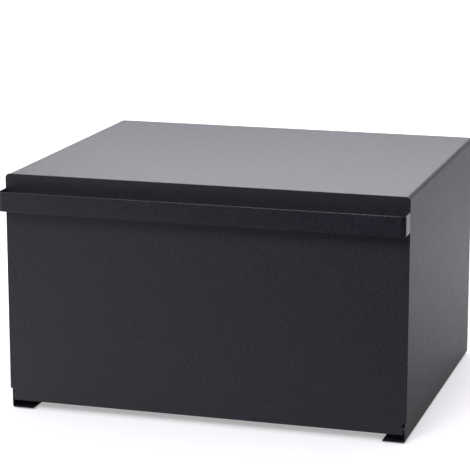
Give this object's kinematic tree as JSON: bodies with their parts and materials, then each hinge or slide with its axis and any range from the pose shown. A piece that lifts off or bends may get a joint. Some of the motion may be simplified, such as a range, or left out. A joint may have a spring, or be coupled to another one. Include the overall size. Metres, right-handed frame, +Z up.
{
  "type": "bread box",
  "caption": "Sheet-steel bread box with a full-width drop-down front door hinged at its lower edge, a long band handle and foot runners.",
  "frame": {"origin": "centre of the underside of the whole object, on the surface it stands on", "axes": "+X to the right along the front, +Y from the front to the rear, +Z up; left and right as seen from in front of the door"},
  "size_m": [0.423, 0.3688, 0.2515],
  "materials": {
    "black_powder_coat": "matt black powder coat with a fine even texture",
    "zinc_plated_steel": "bright zinc plate",
    "black_zinc_steel": "black zinc plate, satin",
    "black_nylon": "moulded black nylon",
    "black_plastic": "moulded black plastic",
    "nickel_plate": "bright nickel plate",
    "clear_silicone": "milky clear silicone",
    "black_rubber": "matt black rubber"
  },
  "bodies": {
    "cabinet": {"outer_shell": "black_powder_coat", "floor_panel": "black_powder_coat", "back_panel": "black_powder_coat", "front_header": "black_powder_coat", "back_panel_screws": "black_zinc_steel", "floor_rivets": "zinc_plated_steel", "hinge_stud_left": "zinc_plated_steel", "hinge_clip_left": "zinc_plated_steel", "magnet_holder_left": "black_plastic", "catch_magnet_left": "nickel_plate", "door_bumper_left": "clear_silicone", "hinge_stud_right": "zinc_plated_steel", "hinge_clip_right": "zinc_plated_steel", "magnet_holder_right": "black_plastic", "catch_magnet_right": "nickel_plate", "door_bumper_right": "clear_silicone", "foot_pad_front_left": "black_rubber", "foot_pad_front_right": "black_rubber", "foot_pad_rear_left": "black_rubber", "foot_pad_rear_right": "black_rubber"},
    "door": {"door_panel": "black_powder_coat", "door_handle": "black_powder_coat", "hinge_bush_left": "black_nylon", "hinge_bush_right": "black_nylon"}
  },
  "joints": [
    {"name": "door_hinge", "type": "hinge", "parent": "cabinet", "child": "door", "pos_m": [0, -0.1564, 0.014], "axis": [1, 0, 0], "range_deg": [0, 86]}
  ]
}
